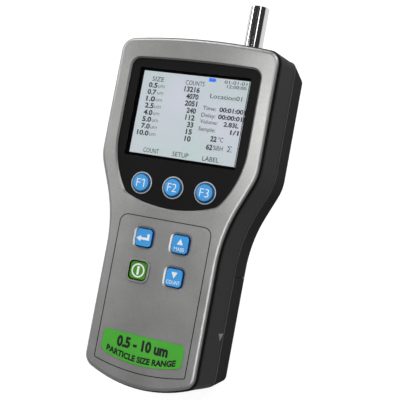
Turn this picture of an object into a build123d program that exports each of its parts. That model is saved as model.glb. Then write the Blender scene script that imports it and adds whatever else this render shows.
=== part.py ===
from build123d import *
import os
from math import asin, cos, degrees, hypot, radians, sin, sqrt, tan

# Handheld airborne particle counter, lying on its back. Millimetres.
# +X is to the right of the screen, +Y runs up the body to the inlet tube, +Z points out of the screen.
# The origin is on the back face, on the centre line, under the middle of the overall length.

# --- Case: heights above the back face -------------------------------------------------------
FRONT_Z = 58.0            # silver front face
RIM_Z = 53.4              # lower edge of the silver cover
PARTING_Z = 26.6          # where the mid case meets the rear case
WALL = 2.2
FACE_THICKNESS = 2.0
FRONT_EDGE_R = 2.8
BACK_EDGE_R = 1.5

# --- Case: plan outline of the silver cover --------------------------------------------------
HEAD_HALF = 52.2          # half width of the head, beside the screen
GRIP_HALF = 37.1          # half width of the grip
CROWN_Y = 93.3            # top edge on the centre line
CROWN_R = 400.0
HEEL_Y = -122.3           # bottom edge on the centre line
HEEL_R = 82.0
HEAD_CORNER_R = 8.5
GRIP_CORNER_R = 8.5
CORNER_TIGHTEN = 5.5      # how much sharper the body's corners are from the parting line down
SHOULDER_Y = 20.4         # where the sides start to run in
SHOULDER_OUT_R = 30.0
SHOULDER_IN_R = 95.0
SHOULDER_TURN = 22.5      # degrees from straight down

# --- Case: how far the dark shells spread outside the silver cover ---------------------------
MID_LEDGE = 0.8           # dark lip round the silver cover
MID_FLARE = 2.15          # mid case at the parting line
REAR_LEDGE = 2.5          # rear case at the parting line
REAR_FOOT = 1.5           # rear case at the back face
REAR_DROP = 2.5           # how much lower the crown is at the back face
LIP_HEIGHT = 1.8          # spigot of the mid case inside the cover
LIP_WALL = 1.2
FIT_GAP = 0.15
LIP_INNER = -WALL - FIT_GAP - LIP_WALL
FLOOR = 2.4               # thickness of the back wall

# --- Display panel ---------------------------------------------------------------------------
PANEL_Z = 57.0            # top of the black panel
PANEL_UNDER_Z = 54.6
PANEL_HALF = 42.4
PANEL_TOP_Y = 79.0
PANEL_TOP_R = 700.0
PANEL_SIDE_Y = 28.9       # where the sides start to curve in
PANEL_SIDE_R = 58.0
PANEL_FOOT_Y = -12.65
PANEL_FOOT_R = 78.0
PANEL_CORNER_R = 5.5
PANEL_FOOT_CORNER_R = 8.0
PANEL_FLANGE = 2.0
WINDOW_SIZE = (73.4, 56.0)
WINDOW_Y = 44.7
WINDOW_R = 1.0
SKIRT_WALL = 1.0
SKIRT_Z = 52.5
LENS_Z = 56.5

# --- Screen: 3.5 inch, 4:3 -------------------------------------------------------------------
SCREEN_SIZE = (70.08, 52.56)
SCREEN_Y = 45.1
MODULE_SIZE = (76.9, 63.9)
MODULE_Z = 52.0
MODULE_THICKNESS = 3.3
GLASS_SIZE = (72.6, 55.0)
GLASS_THICKNESS = 1.0

# --- Keys ------------------------------------------------------------------------------------
KEY_TRAVEL = 0.8
ROUND_KEY_Y = 0.5
ROUND_KEY_PITCH = 21.1
ROUND_KEY_R = 5.95
ROUND_KEY_DRAFT = 1.0
ROUND_KEY_TOP_Z = 58.6
RING_R = 6.85
RING_BORE_R = 6.25
RING_TOP_Z = 57.35
RING_EDGE_R = 0.2
RING_SEAT_Z = 55.8
SQUARE_KEY = 11.5
SQUARE_KEY_R = 2.6
SQUARE_KEY_X = 12.0
SQUARE_KEY_TOP_Z = 58.9
POWER_KEY_TOP_Z = 58.1
UPPER_ROW_Y = -32.5
LOWER_ROW_Y = -52.7
KEY_GAP = 0.3
KEY_FLANGE = 0.9
KEY_FLANGE_THICKNESS = 1.3
KEY_FLANGE_GAP = 0.1
STEM_R = 2.2
STEM_FOOT_Z = 51.8
GUARD_WALL = 1.35         # raised lip round the power key
GUARD_HEIGHT = 0.6
GUARD_EDGE_R = 0.4
KEY_BEVEL = 1.1
KEY_BEVEL_DEPTH = 0.45
KEY_EDGE_R = 0.3
KEY_DRAFT = 0.55           # how far each side of a key leans in above the face
KEY_DRAFT_Z = 57.4
PANEL_BEVEL = 1.0

# --- Engraved frame and label on the grip ----------------------------------------------------
FRAME_HALF = 30.4
FRAME_TOP_Y = -19.5
FRAME_FOOT_Y = -113.4
FRAME_FOOT_R = 120.0
FRAME_CORNER_R = 5.5
FRAME_FOOT_CORNER_R = 1.2
GROOVE_WIDTH = 0.55
GROOVE_DEPTH = 0.8
LABEL_HALF = 26.8
LABEL_TOP_Y = -90.8
LABEL_FOOT_Y = -108.4
LABEL_CORNER_R = 2.6
LABEL_FOOT_CORNER_R = 3.6
LABEL_RECESS = 0.25
LABEL_THICKNESS = 0.4

# --- Circuit boards and the plate that carries the air path ----------------------------------
BOARD = 1.6
FRONT_BOARD_Z = 47.1
MAIN_BOARD_Z = 40.0
PLATE_Z = 35.5
PLATE_THICKNESS = 1.5
BOARD_HALF = 41.5
BOARD_TOP_Y = 87.5
BOSS_R = 2.5
BOSS_HOLES = ((30.0, 85.0), (27.0, -18.5), (24.0, -62.0))
SPACER_PLACES = ((36.0, 76.0), (36.0, 16.0))
MAT_THICKNESS = 1.0
DOME_R = 3.2
DOME_TOP_Z = 50.8

# --- Air path --------------------------------------------------------------------------------
TUBE_R = 6.15
TUBE_SEAT_R = 5.5         # the end that is pushed into the case is turned down
TUBE_SHOULDER_Y = 97.0
TUBE_BORE_R = 4.75
TUBE_X = 24.5
TUBE_Z = 28.0
TUBE_FOOT_Y = 70.0
TUBE_END_Y = 124.8
CHAMBER_SIZE = (33.0, 36.0, 16.0)
CHAMBER_Y = 58.0
BEAM_Y = 62.0
BEAM_Z = 27.5
PUMP_X = -27.0
PUMP_HEAD_SIZE = (26.0, 16.0, 22.0)
PUMP_HEAD_Y = 52.0
MOTOR_R = 11.0
MOTOR_LENGTH = 22.0
SUCTION_Y = 50.0
FILTER_R = 9.0
FILTER_X = -29.0
FILTER_Y = 18.0
FILTER_Z = 18.0
FILTER_LENGTH = 30.0
BARB_R = 1.4
BARB_LENGTH = 4.0
HOSE_R = 2.3
HOSE_BORE_R = 1.5
EXHAUST_Y = -8.0
FITTING_X = 41.0
FITTING_R = 2.6
FITTING_LENGTH = 3.2
DETECTOR_HEIGHT = 6.0

# --- Battery bay in the back of the grip -----------------------------------------------------
SEAM_Y = -46.6            # joint between rear case and battery door
SEAM_GAP = 0.3
DOOR_GAP = 0.25
BAY_ROOF_Z = 23.9
BAY_ROOF = 2.3
BAY_END = 2.0
RAIL_X = 34.4             # outside of the bay's side walls
RAIL_WALL = 1.6
RAIL_FLANGE = 2.2
RAIL_Z = 19.6
RAIL_THICKNESS = 1.4
HOOK_DEPTH = 1.9
HOOK_THICKNESS = 1.6
RAIL_END_Y = -106.0
DOOR_WALL = 2.0
CELL_R = 9.35
PACK_LENGTH = 65.0
PACK_TOP_Y = -50.8
RIB_Z = 14.0
RIB_WALL = 1.5
CONTACT_REACH = 4.1
GRIP_GROOVE_Y = -60.0
GRIP_GROOVE_PITCH = 2.6
GRIP_GROOVES = 5
GRIP_GROOVE_LENGTH = 26.0
PAD_THICKNESS = 3.0

# --- Openings in the mid case ----------------------------------------------------------------
GROMMET_R = 7.9
GROMMET_LIP_R = 9.2
SENSOR_X = -18.0
SLOT_Z = 42.0
SLOT_PITCH = 3.2
SLOT_COUNT = 5
SLOT_LENGTH = 10.0
SLOT_WIDTH = 1.4
USB_SIZE = (8.0, 7.8, 3.6)
USB_Y = 45.0
USB_OUTER_X = 52.6
JACK_BODY_X = 50.2
JACK_SIZE = (10.0, 9.0, 10.0)
JACK_Y = 60.0
JACK_BARREL_R = 3.4
ARROW_Y = -84.0
ARROW_Z = 31.6
ARROW_SIZE = 4.2
ARROW_FLOOR = 1.2         # floor of the arrow outside the silver cover's side

# --- Fasteners -------------------------------------------------------------------------------
POST_R = 3.4
POST_TOP_Z = 44.0
CASE_SCREWS = ((45.5, 79.5), (45.5, 24.0))
GRIP_SCREWS = ((27.0, -100.0),)
SCREW_R = 1.45
SCREW_HEAD_R = 2.8
SCREW_HEAD = 2.0
SCREW_LENGTH = 14.0
SCREW_SEAT_Z = 20.0
TRIPOD_Y = 20.0
TRIPOD_HOLE_R = 2.6
TRIPOD_DEPTH = 7.0
TRIPOD_BOSS_R = 7.0
TRIPOD_BOSS = 10.5
INSERT_R = 4.75
INSERT_FOOT_Z = 0.2
INSERT_TOP_Z = 9.0
COLUMN_R = 4.2


def both_sides(places):
    """Each (x, y) place and its mirror image across the centre line."""
    return [(side * x, y) for x, y in places for side in (1, -1)]


def arc_meeting(centre_a, radius_a, centre_b, radius_b):
    """The crossing of two circles that lies to the right of the line from centre a to centre b."""
    gap = hypot(centre_b[0] - centre_a[0], centre_b[1] - centre_a[1])
    along = (radius_a**2 - radius_b**2 + gap**2) / (2 * gap)
    across = sqrt(radius_a**2 - along**2)
    ux = (centre_b[0] - centre_a[0]) / gap
    uy = (centre_b[1] - centre_a[1]) / gap
    return (centre_a[0] + ux * along + uy * across, centre_a[1] + uy * along - ux * across)


def body_outline(grow, height, drop=0.0, tighten=0.0):
    """Plan of the body: a bowed head, sides that run in through an S-curve, a parallel grip.

    The outline lies `grow` outside the silver cover's, on a plane at `height`, and its crown is
    lowered by `drop`. Every arc keeps its centre, so two such outlines are true offsets, except
    where `tighten` takes its length off the radius of the four corners.
    """
    head = HEAD_HALF + grow
    grip = GRIP_HALF + grow
    out_r = SHOULDER_OUT_R + grow
    in_r = SHOULDER_IN_R - grow
    turn = radians(SHOULDER_TURN)
    radii = SHOULDER_OUT_R + SHOULDER_IN_R
    slope = (HEAD_HALF - GRIP_HALF - radii * (1 - cos(turn))) / sin(turn)
    waist_y = SHOULDER_Y - radii * sin(turn) - slope * cos(turn)
    crown_centre = CROWN_Y - drop - CROWN_R
    crown_r = CROWN_R + grow
    crown_half = degrees(asin(head / crown_r))
    heel_centre = HEEL_Y + HEEL_R
    heel_r = HEEL_R + grow
    heel_half = degrees(asin(grip / heel_r))
    with BuildSketch(Plane.XY.offset(height)) as plan:
        with BuildLine():
            CenterArc((0, crown_centre), crown_r, 90 - crown_half, 2 * crown_half)
            CenterArc((0, heel_centre), heel_r, 270 - heel_half, 2 * heel_half)
            for side in (1, -1):
                start = -SHOULDER_TURN if side > 0 else 180
                outer = CenterArc((side * (head - out_r), SHOULDER_Y), out_r, start, SHOULDER_TURN)
                start = 180 - SHOULDER_TURN if side > 0 else 0
                inner = CenterArc((side * (grip + in_r), waist_y), in_r, start, SHOULDER_TURN)
                top = outer @ 1 if side > 0 else outer @ 0
                bend = outer @ 0 if side > 0 else outer @ 1
                hollow = inner @ 0 if side > 0 else inner @ 1
                waist = inner @ 1 if side > 0 else inner @ 0
                Line((side * head, crown_centre + sqrt(crown_r**2 - head**2)), top)
                Line(bend, hollow)
                Line(waist, (side * grip, heel_centre - sqrt(heel_r**2 - grip**2)))
        make_face()
        fillet(plan.vertices().group_by(Axis.Y)[-1], HEAD_CORNER_R + grow - tighten)
        fillet(plan.vertices().group_by(Axis.Y)[0], GRIP_CORNER_R + grow - tighten)
    return plan.sketch


def body_ring(outer, inner, height):
    """Band between two body outlines on one plane."""
    with BuildSketch(Plane.XY.offset(height)) as band:
        add(body_outline(outer, 0))
        add(body_outline(inner, 0), mode=Mode.SUBTRACT)
    return band.sketch


def panel_outline(grow, height):
    """Plan of the display panel: square shoulders, then sides and foot that curve in to a shield."""
    half = PANEL_HALF + grow
    side_r = PANEL_SIDE_R + grow
    side_centre = (half - side_r, PANEL_SIDE_Y)
    foot_r = PANEL_FOOT_R + grow
    foot_centre = (0, PANEL_FOOT_Y + PANEL_FOOT_R)
    top_r = PANEL_TOP_R + grow
    top_centre = PANEL_TOP_Y - PANEL_TOP_R
    top_half = degrees(asin(half / top_r))
    corner = arc_meeting(side_centre, side_r, foot_centre, foot_r)
    bend = degrees(asin((PANEL_SIDE_Y - corner[1]) / side_r))
    foot_half = degrees(asin(corner[0] / foot_r))
    with BuildSketch(Plane.XY.offset(height)) as plan:
        with BuildLine():
            CenterArc((0, top_centre), top_r, 90 - top_half, 2 * top_half)
            CenterArc(foot_centre, foot_r, 270 - foot_half, 2 * foot_half)
            CenterArc(side_centre, side_r, -bend, bend)
            CenterArc((-side_centre[0], PANEL_SIDE_Y), side_r, 180, bend)
            for side in (1, -1):
                Line((side * half, PANEL_SIDE_Y), (side * half, top_centre + sqrt(top_r**2 - half**2)))
        make_face()
        fillet(plan.vertices().group_by(Axis.Y)[-1], PANEL_CORNER_R + grow)
        lower = plan.vertices().filter_by(lambda v: abs(v.Y - corner[1]) < 0.01)
        fillet(lower, PANEL_FOOT_CORNER_R + grow)
    return plan.sketch


def tongue_outline(half, top_y, foot_y, foot_r, corner_r, foot_corner_r, height):
    """Plan with a straight top, straight sides and a foot that follows the heel's bow."""
    foot_half = degrees(asin(half / foot_r))
    side_foot_y = foot_y + foot_r - sqrt(foot_r**2 - half**2)
    with BuildSketch(Plane.XY.offset(height)) as plan:
        with BuildLine():
            CenterArc((0, foot_y + foot_r), foot_r, 270 - foot_half, 2 * foot_half)
            Line((half, side_foot_y), (half, top_y))
            Line((half, top_y), (-half, top_y))
            Line((-half, top_y), (-half, side_foot_y))
        make_face()
        fillet(plan.vertices().group_by(Axis.Y)[-1], corner_r)
        fillet(plan.vertices().group_by(Axis.Y)[0], foot_corner_r)
    return plan.sketch


def key_outline(place, grow, height):
    """Plan of a square key's opening, `grow` outside its walls."""
    with BuildSketch(Plane.XY.offset(height)) as plan:
        with Locations(place):
            RectangleRounded(KEY_HOLE + 2 * grow, KEY_HOLE + 2 * grow, KEY_HOLE_R + grow)
    return plan.sketch


def save(piece, name):
    """Label a finished piece and write its STEP file."""
    piece.part.label = name
    export_step(piece.part, f"parts/{name}.step")


os.makedirs("parts", exist_ok=True)

ROUND_KEYS = (("f1", -ROUND_KEY_PITCH), ("f2", 0.0), ("f3", ROUND_KEY_PITCH))
SQUARE_KEYS = (
    ("enter", -SQUARE_KEY_X, UPPER_ROW_Y, SQUARE_KEY_TOP_Z),
    ("up", SQUARE_KEY_X, UPPER_ROW_Y, SQUARE_KEY_TOP_Z),
    ("power", -SQUARE_KEY_X, LOWER_ROW_Y, POWER_KEY_TOP_Z),
    ("down", SQUARE_KEY_X, LOWER_ROW_Y, SQUARE_KEY_TOP_Z),
)
KEY_PLACES = [(x, y) for _, x, y, _ in SQUARE_KEYS]
ROUND_PLACES = [(x, ROUND_KEY_Y) for _, x in ROUND_KEYS]
POWER_PLACE = (-SQUARE_KEY_X, LOWER_ROW_Y)
KEY_HOLE = SQUARE_KEY + 2 * KEY_GAP
KEY_HOLE_R = SQUARE_KEY_R + KEY_GAP
FACE_UNDER_Z = FRONT_Z - FACE_THICKNESS
BOARD_TOP_Z = FRONT_BOARD_Z + BOARD

# --- Front cover: a shallow painted tray with openings for the panel and four keys -----------
with BuildPart() as front_cover:
    extrude(body_outline(0, RIM_Z), amount=FRONT_Z - RIM_Z)
    fillet(front_cover.faces().sort_by(Axis.Z)[-1].edges(), FRONT_EDGE_R)
    extrude(body_outline(-WALL, RIM_Z), amount=FACE_UNDER_Z - RIM_Z, mode=Mode.SUBTRACT)
    # raised lip that guards the power key
    with BuildSketch(Plane.XY.offset(FRONT_Z)):
        with Locations(POWER_PLACE):
            guard = KEY_HOLE + 2 * GUARD_WALL
            RectangleRounded(guard, guard, KEY_HOLE_R + GUARD_WALL)
    extrude(amount=GUARD_HEIGHT)
    fillet(front_cover.faces().sort_by(Axis.Z)[-1].edges(), GUARD_EDGE_R)
    # openings, each with a bevelled edge
    extrude(panel_outline(FIT_GAP, FACE_UNDER_Z), amount=FACE_THICKNESS, mode=Mode.SUBTRACT)
    loft(
        [panel_outline(FIT_GAP, FRONT_Z - PANEL_BEVEL), panel_outline(FIT_GAP + PANEL_BEVEL, FRONT_Z)],
        ruled=True,
        mode=Mode.SUBTRACT,
    )
    with BuildSketch(Plane.XY.offset(FACE_UNDER_Z)):
        with Locations(*KEY_PLACES):
            RectangleRounded(KEY_HOLE, KEY_HOLE, KEY_HOLE_R)
    extrude(amount=FACE_THICKNESS + GUARD_HEIGHT, mode=Mode.SUBTRACT)
    for place in KEY_PLACES:
        if place != POWER_PLACE:
            loft(
                [key_outline(place, 0, FRONT_Z - KEY_BEVEL_DEPTH), key_outline(place, KEY_BEVEL, FRONT_Z)],
                ruled=True,
                mode=Mode.SUBTRACT,
            )
    # engraved frame and the label's shallow bed
    with BuildSketch(Plane.XY.offset(FRONT_Z)):
        add(
            tongue_outline(
                FRAME_HALF, FRAME_TOP_Y, FRAME_FOOT_Y, FRAME_FOOT_R,
                FRAME_CORNER_R, FRAME_FOOT_CORNER_R, 0,
            )
        )
        add(
            tongue_outline(
                FRAME_HALF - GROOVE_WIDTH, FRAME_TOP_Y - GROOVE_WIDTH,
                FRAME_FOOT_Y + GROOVE_WIDTH, FRAME_FOOT_R - GROOVE_WIDTH,
                FRAME_CORNER_R - GROOVE_WIDTH, FRAME_FOOT_CORNER_R - GROOVE_WIDTH, 0,
            ),
            mode=Mode.SUBTRACT,
        )
    extrude(amount=-GROOVE_DEPTH, mode=Mode.SUBTRACT)
    extrude(
        tongue_outline(
            LABEL_HALF + FIT_GAP, LABEL_TOP_Y + FIT_GAP, LABEL_FOOT_Y - FIT_GAP, HEEL_R,
            LABEL_CORNER_R, LABEL_FOOT_CORNER_R, FRONT_Z - LABEL_RECESS,
        ),
        amount=LABEL_RECESS,
        mode=Mode.SUBTRACT,
    )
    # bosses that carry the front board
    with BuildSketch(Plane.XY.offset(BOARD_TOP_Z)):
        with Locations(*both_sides(BOSS_HOLES)):
            Circle(BOSS_R)
    extrude(amount=FACE_UNDER_Z - BOARD_TOP_Z)
    with BuildSketch(Plane.XY.offset(BOARD_TOP_Z)):
        with Locations(*both_sides(BOSS_HOLES)):
            Circle(0.9)
    extrude(amount=5, mode=Mode.SUBTRACT)
save(front_cover, "front_cover")

# --- Mid case: the dark flared wall between the cover and the parting line -------------------
with BuildPart() as mid_case:
    loft(
        [
            body_outline(MID_FLARE, PARTING_Z, tighten=CORNER_TIGHTEN),
            body_outline(MID_LEDGE, RIM_Z),
        ],
        ruled=True,
    )
    loft(
        [
            body_outline(MID_FLARE - WALL, PARTING_Z, tighten=CORNER_TIGHTEN),
            body_outline(MID_LEDGE - WALL, RIM_Z),
        ],
        ruled=True,
        mode=Mode.SUBTRACT,
    )
    # shelf and spigot that locate the silver cover
    extrude(body_ring(-1.0, LIP_INNER, RIM_Z - LIP_HEIGHT), amount=LIP_HEIGHT)
    extrude(body_ring(LIP_INNER + LIP_WALL, LIP_INNER, RIM_Z - LIP_HEIGHT), amount=2 * LIP_HEIGHT)
    # screw posts, each webbed to the nearest side wall
    for x, y in both_sides(CASE_SCREWS + GRIP_SCREWS):
        wall_x = (HEAD_HALF if y > SHOULDER_Y else GRIP_HALF) + 0.2
        web = wall_x - abs(x)
        with BuildSketch(Plane.XY.offset(PARTING_Z)):
            with Locations((x, y)):
                Circle(POST_R)
            with Locations((x + (web / 2 if x > 0 else -web / 2), y)):
                Rectangle(web, 3)
        extrude(amount=POST_TOP_Z - PARTING_Z)
    with BuildSketch(Plane.XY.offset(PARTING_Z)):
        with Locations(*both_sides(CASE_SCREWS + GRIP_SCREWS)):
            Circle(SCREW_R + 0.05)
    extrude(amount=12, mode=Mode.SUBTRACT)
    # inlet hole, shared with the rear case
    with BuildSketch(Plane.XZ.offset(-80)):
        with Locations((TUBE_X, TUBE_Z)):
            Circle(GROMMET_R + 0.05)
    extrude(amount=-30, mode=Mode.SUBTRACT)
    # slots through which the humidity sensor breathes
    with BuildSketch(Plane.XZ.offset(-80)):
        with Locations((SENSOR_X, SLOT_Z)):
            with GridLocations(SLOT_PITCH, 1, SLOT_COUNT, 1):
                SlotOverall(SLOT_LENGTH, SLOT_WIDTH, rotation=90)
    extrude(amount=-30, mode=Mode.SUBTRACT)
    # sockets of the data port and the charging jack, in the left wall
    with BuildSketch(Plane.YZ.offset(-HEAD_HALF - 4)):
        with Locations((USB_Y, MAIN_BOARD_Z + BOARD + USB_SIZE[2] / 2)):
            RectangleRounded(USB_SIZE[1] + 0.4, USB_SIZE[2] + 0.4, 0.8)
        with Locations((JACK_Y, MAIN_BOARD_Z + BOARD + JACK_SIZE[2] / 2)):
            Circle(JACK_BARREL_R + 0.2)
    extrude(amount=8, mode=Mode.SUBTRACT)
    # moulded arrow on each side that shows which way the battery door slides
    for side in (1, -1):
        arrow_x = GRIP_HALF + ARROW_FLOOR
        with BuildSketch(Plane.YZ.offset(side * arrow_x)):
            with BuildLine():
                Polyline(
                    (ARROW_Y + ARROW_SIZE / 2, ARROW_Z + ARROW_SIZE / 2),
                    (ARROW_Y + ARROW_SIZE / 2, ARROW_Z - ARROW_SIZE / 2),
                    (ARROW_Y - ARROW_SIZE / 2, ARROW_Z),
                    close=True,
                )
            make_face()
        extrude(amount=side * 3, mode=Mode.SUBTRACT)
save(mid_case, "mid_case")

# --- Rear case and battery door: one tapering shell, cut at the seam -------------------------
with BuildPart() as rear_shell:
    loft(
        [
            body_outline(REAR_FOOT, 0, REAR_DROP, CORNER_TIGHTEN),
            body_outline(REAR_LEDGE, PARTING_Z, tighten=CORNER_TIGHTEN),
        ],
        ruled=True,
    )
    fillet(rear_shell.faces().sort_by(Axis.Z)[0].edges(), BACK_EDGE_R)
REAR_SHELL = rear_shell.part


with BuildPart() as rear_hollow:
    loft(
        [
            body_outline(REAR_FOOT - WALL, FLOOR, REAR_DROP, CORNER_TIGHTEN),
            body_outline(REAR_LEDGE - WALL, PARTING_Z, tighten=CORNER_TIGHTEN),
        ],
        ruled=True,
    )
    split(bisect_by=Plane.XZ.offset(-SEAM_Y - BAY_END), keep=Keep.BOTTOM)

with BuildPart() as rear_case:
    add(REAR_SHELL)
    split(bisect_by=Plane.XZ.offset(-SEAM_Y), keep=Keep.BOTTOM)
    add(rear_hollow.part, mode=Mode.SUBTRACT)
    # screw columns, tripod boss and the two saddles under the air filter
    with BuildSketch():
        with Locations(*both_sides(CASE_SCREWS)):
            Circle(COLUMN_R)
    extrude(amount=PARTING_Z)
    with BuildSketch():
        with Locations((0, TRIPOD_Y)):
            Circle(TRIPOD_BOSS_R)
    extrude(amount=TRIPOD_BOSS)
    with BuildSketch():
        with Locations(*[(FILTER_X, FILTER_Y + step) for step in (-8, 8)]):
            Rectangle(1.6 * FILTER_R, 2)
    extrude(amount=FILTER_Z - FILTER_R / 2)
    with BuildSketch(Plane.XZ.offset(-FILTER_Y + FILTER_LENGTH / 2)):
        with Locations((FILTER_X, FILTER_Z)):
            Circle(FILTER_R + 0.05)
    extrude(amount=-FILTER_LENGTH, mode=Mode.SUBTRACT)
    # battery bay: roof, side rails with outward flanges, and two ribs that hold the pack
    with BuildSketch(Plane.XY.offset(BAY_ROOF_Z)) as roof:
        add(body_outline(RAIL_X - GRIP_HALF, 0))
        split(bisect_by=Plane.XZ.offset(-SEAM_Y - BAY_END / 2), keep=Keep.TOP)
    extrude(amount=BAY_ROOF)
    rail_length = SEAM_Y + BAY_END / 2 - RAIL_END_Y
    rail_y = RAIL_END_Y + rail_length / 2
    with BuildSketch(Plane.XY.offset(RAIL_Z)):
        for side in (1, -1):
            with Locations((side * (RAIL_X - RAIL_WALL / 2), rail_y)):
                Rectangle(RAIL_WALL, rail_length)
    extrude(amount=BAY_ROOF_Z - RAIL_Z)
    flange_length = SEAM_Y - RAIL_END_Y - 1
    with BuildSketch(Plane.XY.offset(RAIL_Z)):
        for side in (1, -1):
            with Locations((side * (RAIL_X + RAIL_FLANGE / 2), RAIL_END_Y + flange_length / 2)):
                Rectangle(RAIL_FLANGE, flange_length)
    extrude(amount=RAIL_THICKNESS)
    with BuildSketch(Plane.XY.offset(RIB_Z)):
        for side in (1, -1):
            with Locations((side * (2 * CELL_R + 0.3 + RIB_WALL / 2), rail_y)):
                Rectangle(RIB_WALL, rail_length)
    extrude(amount=BAY_ROOF_Z - RIB_Z)
    # screw holes with deep counterbores for the heads
    with BuildSketch():
        with Locations(*both_sides(CASE_SCREWS)):
            Circle(SCREW_HEAD_R + 0.3)
    extrude(amount=SCREW_SEAT_Z, mode=Mode.SUBTRACT)
    with BuildSketch():
        with Locations(*both_sides(CASE_SCREWS + GRIP_SCREWS)):
            Circle(SCREW_R + 0.2)
    extrude(amount=PARTING_Z, mode=Mode.SUBTRACT)
    # tripod insert pocket
    with BuildSketch():
        with Locations((0, TRIPOD_Y)):
            Circle(INSERT_R + 0.05)
    extrude(amount=INSERT_TOP_Z, mode=Mode.SUBTRACT)
    # inlet hole and exhaust hole
    with BuildSketch(Plane.XZ.offset(-80)):
        with Locations((TUBE_X, TUBE_Z)):
            Circle(GROMMET_R + 0.05)
    extrude(amount=-30, mode=Mode.SUBTRACT)
    with BuildSketch(Plane.YZ.offset(-FITTING_X)):
        with Locations((EXHAUST_Y, FILTER_Z)):
            Circle(FITTING_R + 0.05)
    extrude(amount=-10, mode=Mode.SUBTRACT)
save(rear_case, "rear_case")

# --- Battery door: the whole back of the grip, sliding off towards the heel ------------------
with BuildPart() as door_hollow:
    loft(
        [
            body_outline(REAR_FOOT - DOOR_WALL, DOOR_WALL, REAR_DROP, CORNER_TIGHTEN),
            body_outline(REAR_LEDGE - DOOR_WALL, PARTING_Z, tighten=CORNER_TIGHTEN),
        ],
        ruled=True,
    )

with BuildPart() as battery_door:
    add(REAR_SHELL)
    split(bisect_by=Plane.XZ.offset(-SEAM_Y + SEAM_GAP), keep=Keep.TOP)
    add(door_hollow.part, mode=Mode.SUBTRACT)
    split(bisect_by=Plane.XY.offset(PARTING_Z - DOOR_GAP), keep=Keep.BOTTOM)
    # hooks that run over the bay's flanges
    hook_length = SEAM_Y - RAIL_END_Y - 3
    hook_inner = RAIL_X + RAIL_FLANGE - HOOK_DEPTH + 0.5
    hook_outer = GRIP_HALF + 1
    with BuildSketch(Plane.XY.offset(RAIL_Z + RAIL_THICKNESS + 0.3)):
        for side in (1, -1):
            with Locations((side * (hook_inner + hook_outer) / 2, RAIL_END_Y + hook_length / 2 + 1)):
                Rectangle(hook_outer - hook_inner, hook_length)
    extrude(amount=HOOK_THICKNESS)
    # finger grip: shallow grooves across the outside of the door
    with BuildSketch():
        with Locations((0, GRIP_GROOVE_Y)):
            with GridLocations(1, GRIP_GROOVE_PITCH, 1, GRIP_GROOVES):
                SlotOverall(GRIP_GROOVE_LENGTH, 1.2)
    extrude(amount=0.6, mode=Mode.SUBTRACT)
save(battery_door, "battery_door")

with BuildPart() as battery_pad:
    with BuildSketch(Plane.XY.offset(DOOR_WALL)):
        with Locations((0, PACK_TOP_Y - PACK_LENGTH / 2)):
            RectangleRounded(30, PACK_LENGTH - 12, 2)
    extrude(amount=PAD_THICKNESS)
save(battery_pad, "battery_pad")

# --- Battery pack: two cells in one wrap, and the leaf contacts above it ----------------------
with BuildPart() as battery_pack:
    with BuildSketch(Plane.XZ.offset(-PACK_TOP_Y)):
        with Locations((0, BAY_ROOF_Z - CELL_R)):
            SlotOverall(4 * CELL_R, 2 * CELL_R)
    extrude(amount=PACK_LENGTH)
    fillet(battery_pack.faces().filter_by(Axis.Y).edges(), 0.8)
save(battery_pack, "battery_pack")

with BuildPart() as battery_contacts:
    for x in (-8, 0, 8):
        with BuildSketch(Plane.YZ.offset(x - 2.5)):
            with Locations((SEAM_Y, BAY_ROOF_Z - CELL_R)):
                Circle(CONTACT_REACH)
                Circle(CONTACT_REACH - 0.4, mode=Mode.SUBTRACT)
            with Locations((SEAM_Y + CONTACT_REACH, BAY_ROOF_Z - CELL_R)):
                Rectangle(2 * CONTACT_REACH, 3 * CONTACT_REACH, mode=Mode.SUBTRACT)
        extrude(amount=5)
save(battery_contacts, "battery_contacts")

# --- Display panel with its window skirt and three key holes ---------------------------------
with BuildPart() as display_bezel:
    extrude(panel_outline(0, PANEL_UNDER_Z), amount=PANEL_Z - PANEL_UNDER_Z)
    fillet(display_bezel.faces().sort_by(Axis.Z)[-1].edges(), 0.3)
    extrude(panel_outline(PANEL_FLANGE, PANEL_UNDER_Z), amount=FACE_UNDER_Z - PANEL_UNDER_Z)
    with BuildSketch(Plane.XY.offset(SKIRT_Z)):
        with Locations((0, WINDOW_Y)):
            skirt = 2 * SKIRT_WALL
            RectangleRounded(WINDOW_SIZE[0] + skirt, WINDOW_SIZE[1] + skirt, WINDOW_R + SKIRT_WALL)
    extrude(amount=PANEL_UNDER_Z - SKIRT_Z)
    with BuildSketch(Plane.XY.offset(SKIRT_Z)):
        with Locations((0, WINDOW_Y)):
            RectangleRounded(*WINDOW_SIZE, WINDOW_R)
        with Locations(*ROUND_PLACES):
            Circle(RING_BORE_R)
    extrude(amount=PANEL_Z - SKIRT_Z, mode=Mode.SUBTRACT)
    with BuildSketch(Plane.XY.offset(RING_SEAT_Z)):
        with Locations(*ROUND_PLACES):
            Circle(RING_R + 0.05)
    extrude(amount=PANEL_Z - RING_SEAT_Z, mode=Mode.SUBTRACT)
save(display_bezel, "display_bezel")

with BuildPart() as display_lens:
    with BuildSketch(Plane.XY.offset(SKIRT_Z)):
        with Locations((0, WINDOW_Y)):
            lens = 2 * FIT_GAP
            RectangleRounded(WINDOW_SIZE[0] - lens, WINDOW_SIZE[1] - lens, WINDOW_R - FIT_GAP)
    extrude(amount=LENS_Z - SKIRT_Z)
    chamfer(display_lens.faces().sort_by(Axis.Z)[-1].edges(), 0.2)
save(display_lens, "display_lens")

with BuildPart() as lcd_gasket:
    with BuildSketch(Plane.XY.offset(MODULE_Z)):
        with Locations((0, SCREEN_Y)):
            Rectangle(*MODULE_SIZE)
            Rectangle(*SCREEN_SIZE, mode=Mode.SUBTRACT)
    extrude(amount=SKIRT_Z - MODULE_Z)
save(lcd_gasket, "lcd_gasket")

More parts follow.
